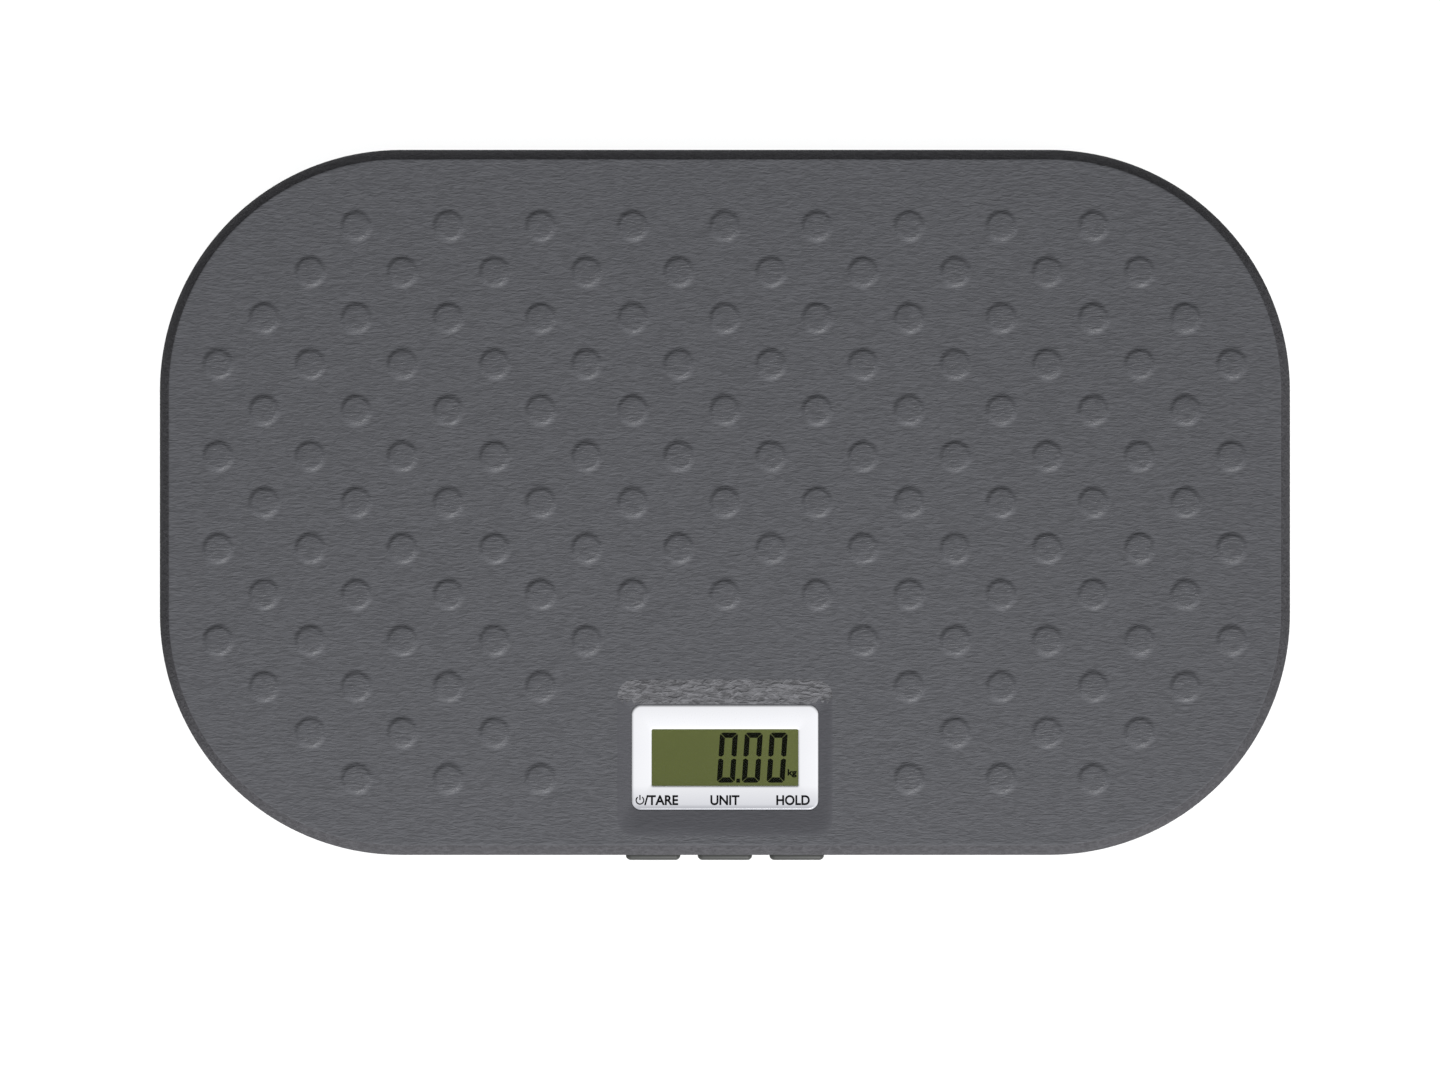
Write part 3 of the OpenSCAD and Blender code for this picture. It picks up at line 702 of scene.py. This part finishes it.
def make_key(name, material):
    """A key cap with rounded edges, the flange behind the wall and the stem to its switch."""
    low, high, centre = node_box(name)
    flange_w, flange_h = high.x - low.x, high.z - low.z
    width, height = flange_w - 2.5, flange_h - 2.4
    flange = low.y + FLANGE_Y
    shell = Shell((centre.x, 0, centre.z), upright=True)
    sections = [
        (5, 4, 0.3, high.y),
        (5, 4, 0.3, flange + FLANGE_T),
        (flange_w, flange_h, 1.2, flange + FLANGE_T),
        (flange_w, flange_h, 1.2, flange),
        (width, height, CAP_R, flange),
    ]
    for inset, drop in arc(CAP_EDGE_R, 7):
        sections.append((width - 2 * inset, height - 2 * inset, CAP_R - inset, low.y + drop))
    sections.append((width - 6, height - 5, 0.2, low.y + 0.12))
    rings = [shell.ring(rounded_rect(w, h, r, 6), y) for w, h, r, y in sections]
    shell.stack(rings)
    shell.cap(rings[0])
    shell.cap(rings[-1])
    piece = shell.build(name + "_cap", [material], name, 40)
    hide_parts(name)


# ------------------------------------------------------------------ finishes of the CAD nodes


def finish_nodes():
    """Gives every CAD node that stays in view its material."""
    tray = moulded("tray_plastic", (0.022, 0.0225, 0.024), 0.55)
    cover = moulded("cover_plastic", (0.036, 0.037, 0.040), 0.5)
    black = moulded("black_plastic", (0.012, 0.012, 0.012), 0.45)
    steel = metal("cell_steel", (0.55, 0.56, 0.57), 0.38)
    nickel = metal("nickel_plate", (0.70, 0.69, 0.66), 0.28, (14, 1, 1))
    zinc = metal("screw_zinc", (0.55, 0.55, 0.54), 0.32, (8, 8, 1))
    board = circuit_board()
    finishes = {
        "base_tray": tray,
        "battery_door": tray,
        "top_cover": cover,
        "display_gasket": rubber("gasket_foam", (0.02, 0.02, 0.02)),
        "display_lens": clear_plastic(),
        "lcd_panel": liquid_crystal(),
        "zebra_strips": rubber("zebra_silicone", (0.55, 0.20, 0.26), 0.5),
        "lcd_backlight": moulded("diffuser", (0.80, 0.80, 0.72), 0.3),
        "main_board": board,
        "key_board": board,
        "board_components": black,
        "buzzer": black,
        "board_connectors": moulded("white_nylon", (0.72, 0.69, 0.58), 0.4),
        "key_switches": nickel,
        "key_ribbon": moulded("ribbon_film", (0.60, 0.56, 0.42), 0.4),
        "strain_gauges": moulded("gauge_film", (0.50, 0.27, 0.05), 0.3),
        "battery_cells": printed_can(),
        "battery_springs": nickel,
        "battery_contacts": nickel,
        "battery_wires": moulded("wire_black", (0.012, 0.012, 0.012), 0.4),
        "door_foam": rubber("door_foam", (0.02, 0.02, 0.02), 0.9, 2600),
        "housing_screws": zinc,
        "board_screws": zinc,
        "clamp_screws": zinc,
    }
    by_prefix = {
        "plunger_": black,
        "foot_pad_": rubber("foot_rubber", (0.016, 0.016, 0.017)),
        "foot_cup_": moulded("foot_plastic", (0.028, 0.028, 0.030), 0.5),
        "foot_clip_": steel,
        "load_cell_": steel,
        "cell_clamp_": moulded("clamp_plastic", (0.05, 0.05, 0.053), 0.5),
        "cell_wire_": moulded("wire_red", (0.35, 0.012, 0.010), 0.4),
    }
    for name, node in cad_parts.items():
        finish = finishes.get(name)
        for prefix, material in by_prefix.items():
            if name.startswith(prefix):
                finish = material
        if finish:
            for slot in node.material_slots:
                slot.material = finish


# ------------------------------------------------------------------ studio


def make_stage(mat, see_through):
    """A pale floor under a soft white sky, and lights from the front. See-through pieces let the key by."""
    floor = Shell()
    loop = circle(FLOOR_R, 32)
    floor.cap(floor.ring(loop, 0))
    mesh = bpy.data.meshes.new("floor")
    mesh.from_pydata(floor.points, [], floor.faces)
    pale = Surface("floor_pale", 0.9, Specular_IOR_Level=0.1)
    pale.colour(pale.mix(pale.noise(2, 2.0), (0.76, 0.76, 0.76), (0.78, 0.78, 0.78)))
    pale.clear_from_behind()
    mesh.materials.append(pale.material)
    stage = bpy.data.objects.new("floor", mesh)
    bpy.context.scene.collection.objects.link(stage)

    world = bpy.data.worlds.new("sky")
    world.use_nodes = True
    sky = world.node_tree.nodes["Background"]
    sky.inputs["Color"].default_value = (0.98, 0.99, 1.0, 1.0)
    sky.inputs["Strength"].default_value = SKY_STRENGTH
    bpy.context.scene.world = world

    # The key light skips the floor, whose own lamp casts no shadow on it
    key = add_sun("key", KEY_ENERGY, KEY_SOFTNESS)
    floor_lamp = add_sun("floor_lamp", FLOOR_ENERGY, FLOOR_SOFTNESS)
    only_floor = linked("only_floor", "INCLUDE", [stage])
    key.light_linking.receiver_collection = linked("not_floor", "EXCLUDE", [stage])
    key.light_linking.blocker_collection = linked("not_bezel", "EXCLUDE", see_through)
    floor_lamp.light_linking.receiver_collection = only_floor
    floor_lamp.light_linking.blocker_collection = only_floor

    strip = add_strip("strip", STRIP_ENERGY, STRIP_PLACE)
    strip.light_linking.receiver_collection = linked("only_mat", "INCLUDE", [mat])


def linked(name, state, pieces):
    """A collection that includes pieces in a lamp's light or shadow, or excludes them from it."""
    collection = bpy.data.collections.new(name)
    for piece in pieces:
        collection.objects.link(piece)
    for entry in collection.collection_objects:
        entry.light_linking.link_state = state
    return collection


def add_sun(name, energy, softness):
    """A sun that looks softness degrees wide."""
    light = bpy.data.lights.new(name, "SUN")
    light.energy = energy
    light.angle = math.radians(softness)
    azimuth, elevation = math.radians(SUN_AZIMUTH), math.radians(SUN_ELEVATION)
    towards = Vector((math.sin(azimuth), -math.cos(azimuth), math.tan(elevation)))
    lamp = bpy.data.objects.new(name, light)
    lamp.rotation_mode = "QUATERNION"
    lamp.rotation_quaternion = towards.to_track_quat("Z", "Y")
    bpy.context.scene.collection.objects.link(lamp)
    return lamp


def add_strip(name, energy, place):
    """A strip light that faces the origin from a place in metres, and is not seen itself."""
    light = bpy.data.lights.new(name, "AREA")
    light.energy = energy
    light.shape = "RECTANGLE"
    light.size, light.size_y = 0.7, 0.1
    lamp = bpy.data.objects.new(name, light)
    lamp.location = place
    lamp.rotation_mode = "QUATERNION"
    lamp.rotation_quaternion = Vector(place).to_track_quat("Z", "Y")
    lamp.visible_camera = False
    bpy.context.scene.collection.objects.link(lamp)
    return lamp


def make_camera():
    """Looks down on the platform, from a little to the front and the left of its middle."""
    _, _, mat = node_box("platform_mat")
    camera = bpy.data.cameras.new("camera")
    camera.sensor_width = 36
    camera.lens = camera.sensor_width * VIEW_DISTANCE / VIEW_WIDTH
    camera.clip_start, camera.clip_end = 0.1, 20
    seen_from = bpy.data.objects.new("camera", camera)
    seen_from.location = Vector((mat.x * MM, mat.y * MM, 0)) + Vector(CAMERA_PLACE)
    bpy.context.scene.collection.objects.link(seen_from)
    bpy.context.scene.camera = seen_from
    bpy.context.scene.view_settings.view_transform = "Standard"


# ------------------------------------------------------------------ build

make_camera()
mat_skin = make_mat()
bezel_frame = make_bezel()
make_stage(mat_skin, [bezel_frame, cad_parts["display_lens"]])
make_prints(
    moulded("label_ink", (0.004, 0.004, 0.005), 0.5, Specular_IOR_Level=0.05),
    moulded("crystal_ink", (0.0018, 0.0022, 0.0004), 0.5, Specular_IOR_Level=0.02),
)
key_plastic = moulded("key_plastic", (0.0358, 0.0370, 0.0350), 0.5, Specular_IOR_Level=0.2)
for key_name in ("key_tare", "key_unit", "key_hold"):
    make_key(key_name, key_plastic)
finish_nodes()
